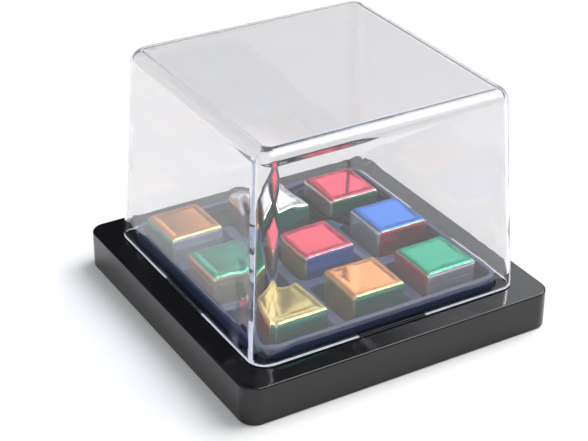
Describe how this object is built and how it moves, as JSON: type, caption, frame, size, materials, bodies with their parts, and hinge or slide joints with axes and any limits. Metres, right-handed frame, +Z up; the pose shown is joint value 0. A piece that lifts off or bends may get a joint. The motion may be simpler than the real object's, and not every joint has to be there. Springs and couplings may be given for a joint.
{
  "type": "dice shaker",
  "caption": "Square black base with a tray of wells that holds six-colour foiled dice under a clear clip-fit cover; shaken, it rolls the colour pattern that a tile puzzle is to copy.",
  "frame": {"origin": "centre of the base's underside, on the surface that it stands on", "axes": "+Z up; +X along the front side to the right; +Y from the front row of wells to the back row"},
  "size_m": [0.07, 0.07, 0.0512],
  "materials": {
    "base_black": "polished black moulding",
    "tray_black": "semi-gloss blue-black moulding",
    "cover_clear": "clear polished styrene",
    "foil_red": "hot-stamped metallic foil on plastic, red on top",
    "foil_orange": "hot-stamped metallic foil on plastic, orange on top",
    "foil_yellow": "hot-stamped metallic foil on plastic, yellow on top",
    "foil_green": "hot-stamped metallic foil on plastic, green on top",
    "foil_blue": "hot-stamped metallic foil on plastic, blue on top",
    "foil_silver": "hot-stamped metallic foil on plastic, silver on top",
    "screw_steel": "zinc plated"
  },
  "bodies": {
    "base": {"base_housing": "base_black", "socket_tray": "tray_black", "tray_screw_1": "screw_steel", "tray_screw_2": "screw_steel", "tray_screw_3": "screw_steel", "tray_screw_4": "screw_steel"},
    "cover": {"clear_cover": "cover_clear"},
    "die_front_left": {"die_front_left": "foil_yellow"},
    "die_front_centre": {"die_front_centre": "foil_orange"},
    "die_front_right": {"die_front_right": "foil_green"},
    "die_middle_left": {"die_middle_left": "foil_green"},
    "die_middle_centre": {"die_middle_centre": "foil_red"},
    "die_middle_right": {"die_middle_right": "foil_blue"},
    "die_back_left": {"die_back_left": "foil_orange"},
    "die_back_centre": {"die_back_centre": "foil_silver"},
    "die_back_right": {"die_back_right": "foil_red"}
  },
  "joints": [
    {"name": "cover_lift", "type": "slide", "parent": "base", "child": "cover", "axis": [0, 0, 1], "range_m": [0, 0.06]},
    {"name": "die_front_left_lift", "type": "slide", "parent": "base", "child": "die_front_left", "axis": [0, 0, 1], "range_m": [0, 0.033]},
    {"name": "die_front_centre_lift", "type": "slide", "parent": "base", "child": "die_front_centre", "axis": [0, 0, 1], "range_m": [0, 0.033]},
    {"name": "die_front_right_lift", "type": "slide", "parent": "base", "child": "die_front_right", "axis": [0, 0, 1], "range_m": [0, 0.033]},
    {"name": "die_middle_left_lift", "type": "slide", "parent": "base", "child": "die_middle_left", "axis": [0, 0, 1], "range_m": [0, 0.033]},
    {"name": "die_middle_centre_lift", "type": "slide", "parent": "base", "child": "die_middle_centre", "axis": [0, 0, 1], "range_m": [0, 0.036]},
    {"name": "die_middle_right_lift", "type": "slide", "parent": "base", "child": "die_middle_right", "axis": [0, 0, 1], "range_m": [0, 0.033]},
    {"name": "die_back_left_lift", "type": "slide", "parent": "base", "child": "die_back_left", "axis": [0, 0, 1], "range_m": [0, 0.033]},
    {"name": "die_back_centre_lift", "type": "slide", "parent": "base", "child": "die_back_centre", "axis": [0, 0, 1], "range_m": [0, 0.033]},
    {"name": "die_back_right_lift", "type": "slide", "parent": "base", "child": "die_back_right", "axis": [0, 0, 1], "range_m": [0, 0.033]}
  ]
}
